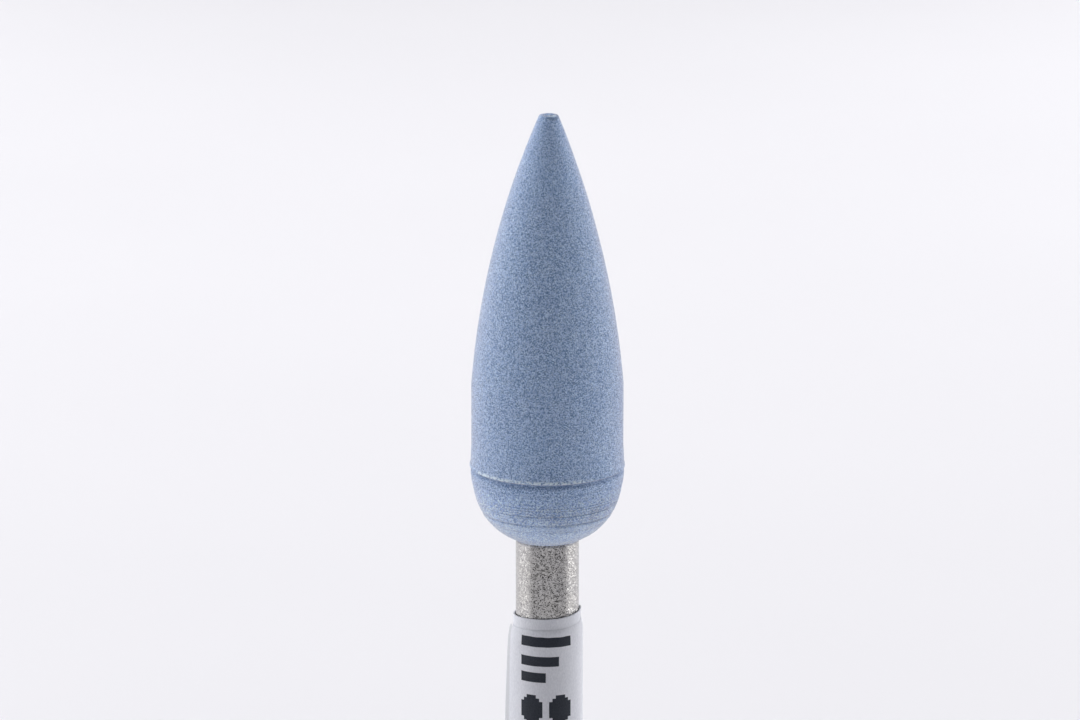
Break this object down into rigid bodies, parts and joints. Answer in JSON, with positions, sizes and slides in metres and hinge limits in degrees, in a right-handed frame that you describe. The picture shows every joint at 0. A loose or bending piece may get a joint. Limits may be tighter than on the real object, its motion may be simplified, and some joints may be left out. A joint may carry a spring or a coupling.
{
  "type": "silicone polishing point",
  "caption": "Bullet-shaped abrasive silicone polishing point bonded onto a slim steel handpiece mandrel, with a film label wound round the shank that slides off over the tail.",
  "frame": {"origin": "centre of the flat face at the mandrel's tail", "axes": "+Z along the mandrel's axis towards the tip of the head; the label's strip starts near +X and is wound towards -Y"},
  "size_m": [0.0058, 0.0058, 0.0445],
  "materials": {
    "abrasive_silicone": "matte slate-blue silicone with fine abrasive grain",
    "stainless_steel": "centreless-ground satin stainless steel",
    "cured_adhesive": "clear amber cured adhesive",
    "label_film": "semi-matte white polypropylene film with coarse black bars printed on it"
  },
  "bodies": {
    "tool": {"mandrel": "stainless_steel", "adhesive_bond": "cured_adhesive", "polishing_head": "abrasive_silicone"},
    "label": {"wound_label": "label_film"}
  },
  "joints": [
    {"name": "label_slide", "type": "slide", "parent": "tool", "child": "label", "axis": [0, 0, -1], "range_m": [-0.0026, 0.009]}
  ]
}
